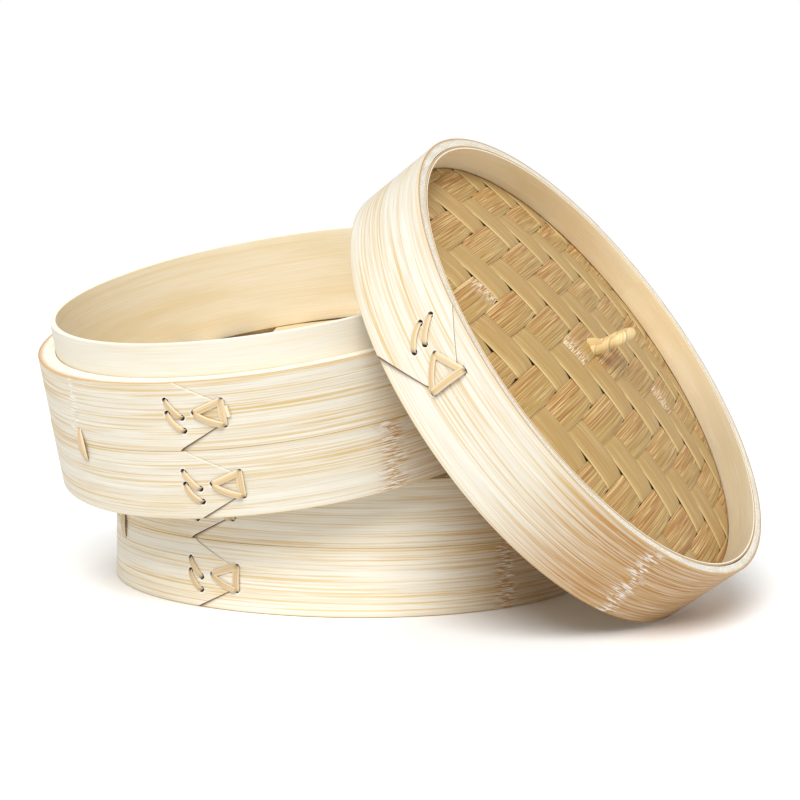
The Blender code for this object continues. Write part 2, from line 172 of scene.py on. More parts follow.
class Look:
    """One node-based material. Its UV coordinates are millimetres along and across the grain."""

    def __init__(self, name, roughness):
        self.material = bpy.data.materials.new(name)
        self.material.use_nodes = True
        self.tree = self.material.node_tree
        self.shader = self.tree.nodes["Principled BSDF"]
        self.shader.inputs["Roughness"].default_value = roughness
        self.uv = self.node("ShaderNodeUVMap", {}, uv_map="grain").outputs[0]

    def node(self, kind, inputs, **settings):
        made = self.tree.nodes.new(kind)
        for key, value in settings.items():
            setattr(made, key, value)
        for key, value in inputs.items():
            if isinstance(value, bpy.types.NodeSocket):
                self.tree.links.new(value, made.inputs[key])
            else:
                made.inputs[key].default_value = value
        return made

    def grain(self, length, width, seed, detail=2.0, distortion=0.0):
        """Noise in streaks of that length and width."""
        shift, scale = (seed * 3.7, seed * 1.9, seed), (1 / length, 1 / width, 1)
        placed = self.node("ShaderNodeMapping", {"Vector": self.uv, "Location": shift, "Scale": scale})
        noise = {"Vector": placed.outputs[0], "Scale": 1.0, "Detail": detail, "Distortion": distortion}
        return self.node("ShaderNodeTexNoise", noise).outputs["Fac"]

    def span(self, value, low, high, to_low=0.0, to_high=1.0):
        limits = {"Value": value, "From Min": low, "From Max": high, "To Min": to_low, "To Max": to_high}
        return self.node("ShaderNodeMapRange", limits, interpolation_type="SMOOTHSTEP").outputs[0]

    def maths(self, operation, first, second=0.0):
        return self.node("ShaderNodeMath", {0: first, 1: second}, operation=operation).outputs[0]

    def times(self, first, second):
        return self.maths("MULTIPLY", first, second)

    def mix(self, share, first, second, blend="MIX"):
        inputs = {0: share, 6: linear(first), 7: linear(second)}
        return self.node("ShaderNodeMix", inputs, data_type="RGBA", blend_type=blend).outputs[2]

    def layers(self, colour, rows, within=None):
        """Lays tints over a colour, each as (value, low, high, strength, tint): none of it where the value is
        low and all its strength at high."""
        for value, low, high, strength, tint in rows:
            share = self.span(value, low, high, 0, strength)
            colour = self.mix(self.times(within, share) if within else share, colour, tint)
        return colour

    def mark(self, name):
        """A value painted on the mesh's points."""
        return self.node("ShaderNodeAttribute", {}, attribute_name=name).outputs["Fac"]

    def place(self):
        """(along the grain, across it) as two values."""
        return self.node("ShaderNodeSeparateXYZ", {0: self.uv}).outputs[:2]

    def stretch(self, radius, low, full, high, end, strength=1.0):
        """Rises from the angle low to full and falls from high to end, in degrees along a hoop."""
        low, full, high, end = [math.radians(a) * radius for a in (low, full, high, end)]
        along = self.place()[0]
        return self.times(self.span(along, low, full, 0, strength), self.span(along, end, high))

    def finish(self, colour, height, distance, strength, roughness=None):
        self.tree.links.new(colour, self.shader.inputs["Base Color"])
        relief = {"Height": height, "Distance": distance * MM, "Strength": strength}
        bump = self.node("ShaderNodeBump", relief)
        self.tree.links.new(bump.outputs[0], self.shader.inputs["Normal"])
        if roughness is not None:
            self.tree.links.new(roughness, self.shader.inputs["Roughness"])
        return self.material


CREAM = (235, 228, 211)
PALE = (243, 238, 223)
GOLD = (221, 188, 120)
HONEY = (231, 210, 164)
AMBER = (198, 146, 66)
RUST = (188, 130, 56)
TOFFEE = (204, 160, 92)
# Painted shade: the near black of the deepest shade in holes and on strips, and the brown of a hole's inside
# away from it
PAINTED_SHADE_DARK = (40, 21, 11)
HOLE_BROWN = (118, 80, 50)
LAP_SHADE = (104, 56, 22)
FIBRE_END = (198, 188, 164)
SAWN_EDGE = (184, 134, 72)
STRAW = (182, 158, 98)
OLIVE = (172, 158, 92)
STAIN = (190, 120, 66)
WHITE_FIBRE = (253, 251, 245)
FRAYED_FIBRE = (238, 222, 196)
# Painted shade: the grey that darkens one stretch of a lining
PAINTED_SHADE_GREY = (0.72, 0.74, 0.80, 1.0)


def node_marks(look, colour, nodes, radius, middle, seed):
    """Paints the frayed white and brown band at each growth node of the cane.
    A node is (degrees, slant, half its width, strength of the brown)."""
    along, across = look.place()
    jag = look.times(look.maths("SUBTRACT", look.grain(4000, 2.4, seed + 0.5, 6.0), 0.5), 14.0)
    for degrees, slant, half, brown in nodes:
        place = math.radians(degrees % 360) * radius
        off = along
        for part in (place, look.times(look.maths("SUBTRACT", across, middle), slant), jag):
            off = look.maths("SUBTRACT", off, part)
        near = look.span(look.maths("ABSOLUTE", off), half * 1.25, half * 0.1)
        flecks = look.grain(7.0, 0.75, seed + degrees, 3.0, 0.3)
        stains = look.grain(14.0, 1.0, seed + degrees + 5, 2.0)
        rows = (
            (stains, 0.44, 0.56, brown, AMBER), (flecks, 0.53, 0.58, 0.95, WHITE_FIBRE),
            (flecks, 0.44, 0.38, brown, AMBER),
        )
        colour = look.layers(colour, rows, near)
    return colour


def hole_marks(look, colour, lap, middle, around):
    """Paints the drilled holes of a lap: painted shade within, darkest a little above the middle, with a thin
    pale burr round them.
    """
    along, across = look.place()
    wrapped = look.times(look.maths("GREATER_THAN", along, around / 2), around)
    place = look.node("ShaderNodeCombineXYZ", {0: look.maths("SUBTRACT", along, wrapped), 1: across})

    def nearest(shift_s, shift_h):
        least = None
        for hole_s, hole_h in lap_holes(lap):
            spot = (hole_s + shift_s, middle + hole_h + shift_h, 0)
            ends = {0: place.outputs[0], 1: spot}
            distance = look.node("ShaderNodeVectorMath", ends, operation="DISTANCE").outputs["Value"]
            least = distance if least is None else look.maths("MINIMUM", least, distance)
        return least

    rim = nearest(0, 0)
    colour = look.mix(look.span(rim, HOLE_RADIUS + 0.75, HOLE_RADIUS + 0.35, 0, 0.85), colour, WHITE_FIBRE)
    # painted shade inside each hole, darkest a little above its middle
    inside = look.mix(look.span(nearest(0.3, 0.45), 0.9, 1.9), PAINTED_SHADE_DARK, HOLE_BROWN)
    return look.mix(look.span(rim, HOLE_RADIUS + 0.12, HOLE_RADIUS - 0.12), colour, inside)


def skin_look(name, seed, nodes, lap, lap_place, painted_shade_and_streaks, painted_shade_tone):
    """Planed bamboo skin: pale cream with fine golden fibres. The stretch before the tone is where and how
    strongly it deepens to toffee with rust streaks, as Look.stretch takes it: on the lid partly its own
    orange streaks and partly painted shade, on the tiers painted warm shade. The tone darkens all of it, as
    painted shade over the whole tier or lid."""
    radius, middle = lap_place[0], lap_place[2]
    look = Look(name, 0.5)
    bold = look.grain(130, 1.15, seed, 1.0, 0.1)
    fine = look.grain(70, 0.7, seed + 1, 1.0, 0.1)
    hair = look.grain(26, 0.4, seed + 4, 2.0)
    fields = look.grain(170, 9, seed + 2, 2.0)
    colour = look.mix(look.span(look.grain(110, 4, seed + 3), 0.36, 0.64), CREAM, PALE)
    colour = look.layers(colour, [(fields, 0.46, 0.72, 0.35, HONEY)])
    rich = look.span(fields, 0.34, 0.60, 0.4, 1.0)
    colour = look.layers(colour, [(fine, 0.53, 0.60, 0.5, GOLD), (bold, 0.55, 0.61, 0.8, GOLD)], rich)
    # toffee with rust streaks over a stretch of the hoop: on the lid partly its own orange streaks and partly
    # painted shade, on the tiers painted warm shade
    here = look.stretch(radius, *painted_shade_and_streaks)
    colour = look.mix(look.times(here, 0.85), colour, TOFFEE)
    rows = ((bold, 0.50, 0.56, 0.7, RUST), (fine, 0.51, 0.57, 0.5, RUST), (fine, 0.46, 0.38, 0.35, PALE))
    colour = look.layers(colour, rows, here)
    colour = look.layers(colour, [(hair, 0.44, 0.34, 0.35, WHITE_FIBRE), (hair, 0.56, 0.70, 0.22, GOLD)])
    colour = node_marks(look, colour, nodes, radius, middle, seed)
    colour = look.mix(look.times(look.mark("rim"), 0.7), colour, GOLD)
    # painted highlight along the lap's outer end, then painted shadow beside it, then painted shade in the
    # holes
    colour = look.mix(look.mark("painted_highlight"), colour, PALE)
    colour = look.mix(look.mark("dark"), colour, LAP_SHADE)
    colour = hole_marks(look, colour, lap, middle, TURN * radius)
    # painted shade: the tone darkens the whole skin of a tier or the lid
    colour = look.mix(1.0, colour, (painted_shade_tone, painted_shade_tone, painted_shade_tone, 1.0), "MULTIPLY")
    height = look.maths("ADD", fine, look.times(hair, 0.5))
    return look.finish(colour, height, 0.10, 0.3, look.span(bold, 0.3, 0.7, 0.42, 0.58))


def pith_look(name, seed, base, light):
    """The sawn end of a band, speckled with fibre ends."""
    look = Look(name, 0.75)
    specks = look.grain(0.9, 0.7, seed, 2.0)
    patches = look.grain(10, 3, seed + 1)
    colour = look.mix(look.span(patches, 0.35, 0.65), base, light)
    rows = ((specks, 0.54, 0.68, 0.45, FIBRE_END), (specks, 0.46, 0.34, 0.9, WHITE_FIBRE))
    colour = look.layers(colour, rows)
    colour = look.mix(look.times(look.mark("rim"), 0.9), colour, SAWN_EDGE)
    return look.finish(colour, specks, 0.3, 0.7)


def lining_look(name, seed, base, deep, streak=0.35, nodes=(), radius=115.0, middle=16.5, painted_shade_range=None):
    """Smooth inner face of the cane, with faint long streaks and soft patches. The last argument is where
    painted shade darkens it, as Look.stretch takes it."""
    look = Look(name, 0.55)
    patches = look.grain(80, 18, seed, 3.0)
    streaks = look.grain(140, 2.2, seed + 1, 2.0, 0.1)
    fibres = look.grain(30, 0.6, seed + 2)
    colour = look.mix(look.span(patches, 0.36, 0.66), base, deep)
    rows = (
        (streaks, 0.50, 0.70, streak, HONEY), (fibres, 0.46, 0.70, 0.12, GOLD),
        (fibres, 0.46, 0.30, 0.2, WHITE_FIBRE),
    )
    colour = look.layers(colour, rows)
    colour = node_marks(look, colour, nodes, radius, middle, seed)
    # painted shade over one stretch of the hoop's inner face
    if painted_shade_range:
        colour = look.mix(look.stretch(radius, *painted_shade_range), colour, PAINTED_SHADE_GREY, "MULTIPLY")
    return look.finish(colour, look.maths("ADD", fibres, streaks), 0.06, 0.25)


def strip_look(name, seed, base, streak, light, strength, edge, green=0.0):
    """A split strip of the mat, the lacing, the handle or the floor. Green is how far a fibrous strip turns
    olive along one edge."""
    look = Look(name, 0.5)
    fibres = look.grain(40, 0.5, seed, 2.0)
    streaks = look.grain(70, 0.9, seed + 1, 2.0, 0.1)
    rows = (
        (streaks, 0.52, 0.58, strength, streak), (fibres, 0.52, 0.60, strength * 0.7, streak),
        (fibres, 0.45, 0.39, strength, light), (look.mark("tint"), 0.0, 1.0, 0.18, STRAW),
    )
    colour = look.layers(base, rows)
    if green:
        olive = look.times(look.mark("olive"), look.span(streaks, 0.60, 0.40, 0.3, 1.0))
        colour = look.mix(look.times(olive, green), colour, OLIVE)
        flecks = look.grain(6.0, 0.6, seed + 7, 3.0, 0.4)
        rows = ((flecks, 0.49, 0.55, 0.85, FRAYED_FIBRE), (flecks, 0.44, 0.38, 0.7, STAIN))
        colour = look.layers(colour, rows, look.mark("frayed"))
    colour = look.mix(look.times(look.mark("rim"), edge), colour, light)
    # painted shade: where stitches and ties dive in, on mat strips where they run under others, in the
    # creases of the handle's wrap
    colour = look.mix(look.mark("dark"), colour, PAINTED_SHADE_DARK)
    return look.finish(colour, look.maths("ADD", fibres, streaks), 0.12, 0.4)


def node_points(node):
    """A CAD node's own points, in millimetres in the row frame."""
    count = len(node.data.vertices)
    flat = np.empty(count * 3, np.float32)
    node.data.vertices.foreach_get("co", flat)
    return np.unique(np.round(flat.reshape(-1, 3).astype(float) / MM, 3), axis=0)


class Ring:
    """The frame of one hoop, worked out from its CAD nodes."""

    def __init__(self, hoop, band, lacing, towards):
        points = node_points(frame["nodes"][hoop])
        centre = points.mean(0)
        axis = np.linalg.eigh(np.cov((points - centre).T))[1][:, 0]
        axis = axis * np.sign(axis @ np.array(towards))
        lowest = ((node_points(frame["nodes"][band]) - centre) @ axis).min()
        origin = centre + axis * lowest
        laced = node_points(frame["nodes"][lacing]) - origin
        rough = laced.mean(0) - axis * (laced.mean(0) @ axis)
        rough = rough / np.linalg.norm(rough)
        side = np.cross(axis, rough)
        across, outward = laced @ side, laced @ rough
        tip = np.arctan2(across, outward).max() - CAD_STITCH_HALF / np.hypot(across, outward).max()
        first = rough * math.cos(tip) + side * math.sin(tip)
        self.rows = np.array([first, np.cross(axis, first), axis])
        self.origin = origin
        self.matrix = Matrix.Translation(Vector(origin * MM)) @ Matrix(self.rows.T.tolist()).to_4x4()

    def local(self, node):
        return (node_points(frame["nodes"][node]) - self.origin) @ self.rows.T

    def spans(self, node):
        """(least radius, greatest radius, lowest, highest) of a CAD node about this ring's axis."""
        points = self.local(node)
        radii = np.hypot(points[:, 0], points[:, 1])
        return radii.min(), radii.max(), points[:, 2].min(), points[:, 2].max()

    def middle_angle(self, node):
        points = self.local(node)
        return math.atan2(points[:, 1].mean(), points[:, 0].mean())

    def lap_place(self, band, lacing):
        """(radius of the band, s of its lap's tip, height of the lap's middle)."""
        points = self.local(lacing)
        radius = self.spans(band)[1]
        tip = np.arctan2(points[:, 1], points[:, 0]).max() * radius - CAD_STITCH_HALF
        return radius, tip, (points[:, 2].min() + points[:, 2].max()) / 2


def facing(angle):
    """(outward, along the hoop) at an angle about a ring's axis."""
    return np.array([math.cos(angle), math.sin(angle), 0]), np.array([-math.sin(angle), math.cos(angle), 0])


def grid_faces(rows, columns, wrap_rows=False, wrap_columns=False):
    """Quads over a grid of points stored column by column."""
    faces = []
    for column in range(columns if wrap_columns else columns - 1):
        here, following = column * rows, (column + 1) % columns * rows
        for row in range(rows if wrap_rows else rows - 1):
            above = (row + 1) % rows
            faces.append((here + row, following + row, following + above, here + above))
    return faces


def end_caps(rows, columns):
    """The two faces that close a tube stored as rings of that many rows."""
    last = rows * (columns - 1)
    return [tuple(range(rows)), tuple(range(last + rows - 1, last - 1, -1))]


def paint(mesh, uv, marks):
    """Stores the grain coordinates and the painted values of a mesh's points."""
    loops = np.empty(len(mesh.loops), np.int32)
    mesh.loops.foreach_get("vertex_index", loops)
    layer = mesh.uv_layers.new(name="grain")
    layer.data.foreach_set("uv", np.asarray(uv, np.float32)[loops].ravel())
    for key, values in marks.items():
        layer = mesh.attributes.new(key, "FLOAT", "POINT")
        layer.data.foreach_set("value", np.asarray(values, np.float32))


def add_object(name, data):
    made = bpy.data.objects.new(name, data)
    bpy.context.scene.collection.objects.link(made)
    return made


def settle(name, mesh, sharp, body, node):
    """Makes a finished mesh a piece that rides on a body and stands for a CAD node."""
    mesh.shade_smooth()
    mesh.set_sharp_from_angle(angle=math.radians(sharp))
    piece = add_object(name, mesh)
    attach(piece, body)
    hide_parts(node)


def add_piece(name, shape, looks, place, body, node, zones=None):
    """A piece from a shape: (points in millimetres, faces, uv, marks). Zones give each face its look."""
    points, faces, uv, marks = shape
    mesh = bpy.data.meshes.new(name)
    mesh.from_pydata((np.asarray(points, float) * MM).tolist(), [], [list(f) for f in faces])
    for look in looks:
        mesh.materials.append(look)
    if zones is not None:
        mesh.polygons.foreach_set("material_index", np.asarray(zones, np.int32))
    paint(mesh, uv, marks)
    mesh.validate()
    mesh.transform(place)
    settle(name, mesh, 55, body, node)


def arc(centre_r, centre_z, radius, start, end):
    """Points (r, z) along an arc, both ends included."""
    angles = [math.radians(start + (end - start) * k / EDGE_STEPS) for k in range(EDGE_STEPS + 1)]
    return [(centre_r + radius * math.cos(a), centre_z + radius * math.sin(a)) for a in angles]


def hoop_outline(inner, outer, low, high, heights):
    """A hoop's section: up the outer face, over the top, down the inner face and back under."""
    edge = min(EDGE, 0.45 * (outer - inner))
    outline = [(outer, z) for z in heights]
    outline += arc(outer - edge, high - edge, edge, 0, 90)
    outline += [(outer + (inner - outer) * k / 4, high) for k in (1.5, 2, 2.5)]
    outline += arc(inner + edge, high - edge, edge, 90, 180)
    count = max(3, round((high - low) / 4))
    outline += [(inner, high - edge - (high - low - 2 * edge) * k / count) for k in range(1, count)]
    outline += arc(inner + edge, low + edge, edge, 180, 270)
    outline += [(inner + (outer - inner) * k / 4, low) for k in (1.5, 2, 2.5)]
    outline += arc(outer - edge, low + edge, edge, 270, 360)
    return np.array(outline)


def lap_holes(lap):
    """The holes that the lacing goes through, as (s, height from the lap's middle)."""
    left = SLANT_RIGHT - lap["slant"]
    return [
        (left, 7.4), (SLANT_RIGHT, -1.1), (left, 1.1), (SLANT_RIGHT, -7.4),
        TRIANGLE_LEFT, (0.0, lap["half_tip"]), (0.0, -lap["half_tip"]),
    ]


def fine_rows(low, high, middle, reach):
    """Heights up a band's outer face: close together beside the lacing, wider apart elsewhere."""
    fine = np.arange(middle - reach, middle + reach, FINE_STEP)
    below = np.arange(low, middle - reach - ROW_GAP, ROW_STEP)
    above = np.arange(middle + reach + ROW_GAP, high, ROW_STEP)
    return np.concatenate([below, fine[(fine > low) & (fine < high)], above])


def band_steps(around, lap):
    """Places s along a band from one end to the other: close together at its ends and beside the lacing."""
    if not lap:
        inner = np.arange(2, around - 1, 3.2)
        return np.concatenate([[0, 0.25, 0.6], inner, [around - 0.6, around - 0.25, around]])
    return np.concatenate([
        [0, 0.25, 0.6], np.arange(1.1, 6, 0.45), np.arange(6, LAP_REACH, 1.7),
        np.arange(LAP_REACH, around - LAP_REACH, 3.4), np.arange(around - LAP_REACH, around - 42, 1.6),
        np.arange(around - 42, around - 0.7, 0.45), [around - 0.5, around - 0.2, around],
    ])


def band_zones(section, inner, outer, low, high):
    """(which of the three looks each face of a section takes, its grain coordinate across the strip)."""
    radii, heights = section.T
    face_r, face_z = (section + np.roll(section, -1, 0)).T / 2
    flat = np.minimum(high - face_z, face_z - low) < FLAT_EDGE
    zones = np.where(flat, 1, np.where(face_r > (inner + outer) / 2, 0, 2))
    across = np.where(radii > (inner + outer) / 2, heights, 2 * high - heights)
    to_edge = np.minimum(high - heights, heights - low)
    return zones, np.where(to_edge < FLAT_EDGE, high + outer - radii, across)


def build_band(ring, node, body, looks, seed, lap=None, lap_place=None, start=0.0, extra_top=0.0):
    """One bent strip closed on itself. With a lap, its outer end is the arrow, a small step above its inner
    end, pierced by the holes of the lacing. Without one its ends butt at the angle start. The looks are those
    of the outer face, the edges and the inner face."""
    inner, outer, low, high = ring.spans(node)
    high += extra_top
    around = TURN * outer
    lap_s, middle = lap_place[1:] if lap else (0.0, (low + high) / 2)
    rows = fine_rows(low + EDGE, high - EDGE, middle, lap["fine"] if lap else 1.0)
    section = hoop_outline(inner, outer, low, high, rows)
    section_r, section_z = section.T
    on_outside = section_r > (inner + outer) / 2
    steps = band_steps(around, lap)[:, None]
    before = np.where(steps > around / 2, 1.0, 0.0)
    after = 1 - before
    from_end = np.where(steps > around / 2, around - steps, steps)
    outline = np.interp(section_z - middle, *zip(*lap["arrow"])) if lap else np.zeros(len(section))
    s = steps + np.clip(1 - from_end / LAP_REACH, 0, 1) * outline
    height = np.broadcast_to(section_z, s.shape)
    ease = 0.5 + 0.5 * np.cos(np.pi * np.clip(from_end / LAP_FADE, 0, 1))
    depth = after * (LAP_STEP * ease if lap else 0.0) + after * LAP_GROOVE * np.exp(-from_end / 0.5)
    depth = depth + before * BUTT_GROOVE * np.exp(-from_end / 0.3)
    dark, painted_highlight = np.zeros((2, *s.shape))
    # Painted shadow on the inner end just beside the lap's edge, wider further down, and a painted highlight
    # along the outer end's edge, strongest on its upper half
    if lap:
        below = np.clip((middle - height) / (high - middle), -1, 1)
        reach = np.where(below > 0, 0.7 + 1.5 * below, 0.3)
        dark = after * np.exp(-((from_end / reach) ** 2)) * np.where(below > 0, 0.95, lap["upper_shade"])
        painted_highlight = before * np.exp(-from_end / 0.9) * np.where(below > 0, 0.3, 0.9)
        for hole_s, hole_h in lap_holes(lap):
            distance = np.hypot(s - around * before - hole_s, height - middle - hole_h)
            inside = np.clip((HOLE_RADIUS - distance) / HOLE_RIM, 0, 1) * on_outside
            depth = np.maximum(depth, HOLE_DEPTH * inside)
    angle = s / outer + lap_s / outer + start
    wave = OUTER_WAVE * (np.sin(3 * angle + seed) + 0.6 * np.sin(7 * angle + 2.1 * seed)) - OUTER_WAVE
    radius = section_r - np.where(on_outside, depth - wave, 0)
    points = np.stack([radius * np.cos(angle), radius * np.sin(angle), height], 2).reshape(-1, 3)
    to_edge = np.minimum(high - section_z, section_z - low)
    rim = np.exp(-to_edge / 0.5) * (section_r > outer - 1.0)
    zones, across = band_zones(section, inner, outer, low, high)
    uv = np.stack([s, np.broadcast_to(across, s.shape)], 2).reshape(-1, 2)
    faces = grid_faces(len(section), len(steps), wrap_rows=True, wrap_columns=True)
    rim = np.broadcast_to(rim, s.shape).ravel()
    marks = {"dark": (dark * on_outside).ravel(), "painted_highlight": painted_highlight.ravel(), "rim": rim}
    shape = (points, faces, uv, marks)
    add_piece(node + "_strip", shape, looks, ring.matrix, body, node, np.tile(zones, len(steps)))


def ribbon(stations, thickness, crown=0.25, tint=0.0):
    """The shape of a flat strip, closed at both ends, through stations of (middle, side, normal, width,
    painted shade)."""
    points, uv, rim, dark = [], [], [], []
    length = 0.0
    for k, (middle, side, normal, width, shade) in enumerate(stations):
        if k:
            length += float(np.linalg.norm(middle - stations[k - 1][0]))
        for x, y in STRIP_SECTION:
            bulge = crown * (1 - x * x) * (y > 0)
            points.append(middle + side * (x * width / 2) + normal * (y * thickness + bulge))
            uv.append((length, x * width / 2 + (9 if y < 0 else 0)))
            rim.append(1.0 if abs(x) > 0.8 else 0.0)
            dark.append(shade)
    rows, columns = len(STRIP_SECTION), len(stations)
    faces = grid_faces(rows, columns, wrap_rows=True) + end_caps(rows, columns)
    marks = {"rim": np.array(rim), "dark": dark, "tint": np.full(len(points), tint)}
    return np.array(points), faces, np.array(uv), marks


def joined(shapes):
    """Several shapes as one."""
    points, faces, uv, marks = zip(*shapes)
    starts = np.cumsum([0] + [len(p) for p in points]).tolist()
    faces = [tuple(i + start for i in f) for start, part in zip(starts, faces) for f in part]
    marks = {key: np.concatenate([np.asarray(part[key], float) for part in marks]) for key in marks[0]}
    return np.concatenate(points), faces, np.concatenate(uv), marks


def station(flat, across, radius, out, middle, width, shade):
    """A station of a strip that lies on a band, at flat, which is (s, height from the lap's middle)."""
    outward, tangent = facing(flat[0] / radius)
    place = outward * (radius + out) + np.array([0, 0, middle + flat[1]])
    return place, tangent * across[0] + np.array([0, 0, across[1]]), outward, width, shade


def stitch(start, end, radius, middle, lift, bow, breadth, seed):
    """A flat strip out of one hole, over the band and into another."""
    start, end = np.array(start, float), np.array(end, float)
    length = np.linalg.norm(end - start)
    heading = (end - start) / length
    start, length = start - heading * STITCH_REACH, length + 2 * STITCH_REACH
    across = np.array([-heading[1], heading[0]])
    stations = []
    for t in STITCH_STEPS:
        from_end = min(t, 1 - t) * length
        rise = min(1.0, math.sqrt(from_end / 1.3))
        flat = start + heading * t * length + across * bow * math.sin(math.pi * t)
        out = -STITCH_DEPTH + (STITCH_DEPTH + lift) * rise + 0.25 * math.sin(math.pi * t)
        width = STITCH_WIDTH * breadth * (0.86 + 0.14 * min(1, from_end / 2.5))
        # painted shade at the stitch's ends, where it dives into its holes
        shade = 0.9 * math.exp(-from_end / 0.6)
        stations.append(station(flat, across, radius, out, middle, width, shade))
    points, faces, uv, marks = ribbon(stations, STITCH_THICKNESS, 0.12, (seed * 0.37) % 1)
    return points, faces, uv + np.array([seed * 40.0, 0]), marks


def loose_end(start, end, radius, middle, lift):
    """The trimmed end of the strip, lying pale and flat beside the triangle."""
    start, end = np.array(start, float), np.array(end, float)
    across = np.array([end[1] - start[1], start[0] - end[0]]) / np.linalg.norm(end - start)
    stations = []
    for t in np.linspace(0, 1, 7):
        flat = start + (end - start) * t
        stations.append(station(flat, across, radius, lift + 0.3 * t, middle, LOOSE_WIDTH, 0.0))
    points, faces, uv, marks = ribbon(stations, LOOSE_THICKNESS, 0.1)
    rim = marks["rim"]
    # pale in the middle, with a little painted shade along its edges
    marks.update(rim=1.6 - 1.6 * rim, dark=0.12 * rim)
    return points, faces, uv, marks


def build_lacing(ring, node, body, lap, lap_place, look, seed, upright_on_top=False, with_loose_end=False):
    """Two slanted stitches, then a triangle of three whose upright one runs down the arrow's tip."""
    radius, lap_s, lap_z = lap_place
    shift = np.array([lap_s, 0])
    holes = [np.array(h) + shift for h in lap_holes(lap)]
    upright, others = (1.0, 0.25) if upright_on_top else (0.25, 0.6)
    runs = [
        (holes[0], holes[1], 0.45, -0.5, 1.05), (holes[2], holes[3], 0.45, -1.0, 1.05),
        (holes[4], holes[5], others + 0.1, 0.15, 1.15), (holes[4], holes[6], others + 0.3, -0.8, 1.05),
        (holes[5] + [0, 0.4], holes[6] - [0, 0.4], upright, -0.15, 1.25),
    ]
    shapes = [
        stitch(a, b, radius, lap_z, lift, bow, breadth, seed + k)
        for k, (a, b, lift, bow, breadth) in enumerate(runs)
    ]
    if with_loose_end:
        shapes.append(loose_end(shift + [2.0, 3.4], shift + [2.9, -2.0], radius, lap_z, 0.25))
    add_piece(node + "_strips", joined(shapes), [look], ring.matrix, body, node)


def build_tie(ring, node, body, look, seed):
    """A strip through both bands that pinches the seam between them, narrow where it enters."""
    low, high = ring.spans(node)[2:]
    face = ring.spans(body + "_upper_band")[1]
    outward, tangent = facing(ring.middle_angle(node))
    stations = []
    for k in range(TIE_STEPS + 1):
        t = k / TIE_STEPS
        middle = math.sin(math.pi * t**0.85)
        from_end = min(t, 1 - t) * (high - low)
        rise = min(1.0, math.sqrt(from_end / 2.0))
        out = -TIE_DEPTH + (TIE_DEPTH + 0.4) * rise + 0.9 * middle**2
        height = low + (high - low) * t
        # each station ends with painted shade at both ends of the tie, where it dives into the bands
        stations.append((
            outward * (face + out) + tangent * (0.6 - 1.4 * t) + np.array([0, 0, height]), tangent, outward,
            TIE_WIDTH * (0.30 + 0.70 * middle**1.2), 0.8 * math.exp(-from_end / 0.6),
        ))
    points, faces, uv, marks = ribbon(stations, STITCH_THICKNESS, tint=(seed * 0.29) % 1)
    shape = (points, faces, uv + seed * 11.0, marks)
    add_piece(node + "_strip", shape, [look], ring.matrix, body, node)


def build_plank(node, body, look, seed, bevel):
    """A slat or floor bar: the CAD solid's own outline with eased edges, grained along its length."""
    source = frame["nodes"][node]
    points = node_points(source)
    centre = points.mean(0)
    axes = np.linalg.eigh(np.cov((points - centre).T))[1]
    shape = bmesh.new()
    shape.from_mesh(source.data)
    bmesh.ops.remove_doubles(shape, verts=shape.verts, dist=1e-5)
    bmesh.ops.dissolve_limit(shape, angle_limit=math.radians(2), verts=shape.verts, edges=shape.edges)
    sharp = [e for e in shape.edges if len(e.link_faces) == 2 and e.calc_face_angle() > math.radians(30)]
    bmesh.ops.bevel(
        shape, geom=sharp, offset=bevel * MM, segments=2, profile=0.6, affect="EDGES", clamp_overlap=True
    )
    mesh = bpy.data.meshes.new(node + "_wood")
    shape.to_mesh(mesh)
    shape.free()
    place = np.array([v.co for v in mesh.vertices], float) / MM - centre
    grain = np.stack([place @ axes[:, 2] + seed * 57.0, place @ axes[:, 1] + 0.6 * (place @ axes[:, 0])], 1)
    paint(mesh, grain, {"tint": np.full(len(mesh.vertices), (seed * 0.43) % 1)})
    mesh.materials.append(look)
    mesh.polygons.foreach_set("material_index", np.zeros(len(mesh.polygons), np.int32))
    settle(node + "_wood", mesh, 40, body, node)


def mat_shape(ring):
    """(radius, top height at the edge, rise to the middle) of the lid's mat."""
    points = ring.local("lid_mat")
    radii = np.hypot(points[:, 0], points[:, 1])
    rim = points[radii > radii.max() - 0.1]
    return radii.max(), rim[:, 2].max(), points[:, 2].max() - rim[:, 2].max()


def sheet_faces(rows, columns):
    """A closed sheet whose upper points come first, column by column, and then its lower ones."""
    total = rows * columns
    upper = [tuple(reversed(f)) for f in grid_faces(rows, columns)]
    under = [tuple(i + total for i in reversed(f)) for f in upper]
    walls = []
    for k in range(columns - 1):
        a, b = k * rows, (k + 1) * rows
        walls.append((a, b, b + total, a + total))
        a, b = a + rows - 1, b + rows - 1
        walls.append((a, a + total, b + total, b))
    for j in range(rows - 1):
        walls.append((j, j + total, j + 1 + total, j + 1))
        a = (columns - 1) * rows + j
        walls.append((a, a + 1, a + 1 + total, a + total))
    return upper + under + walls


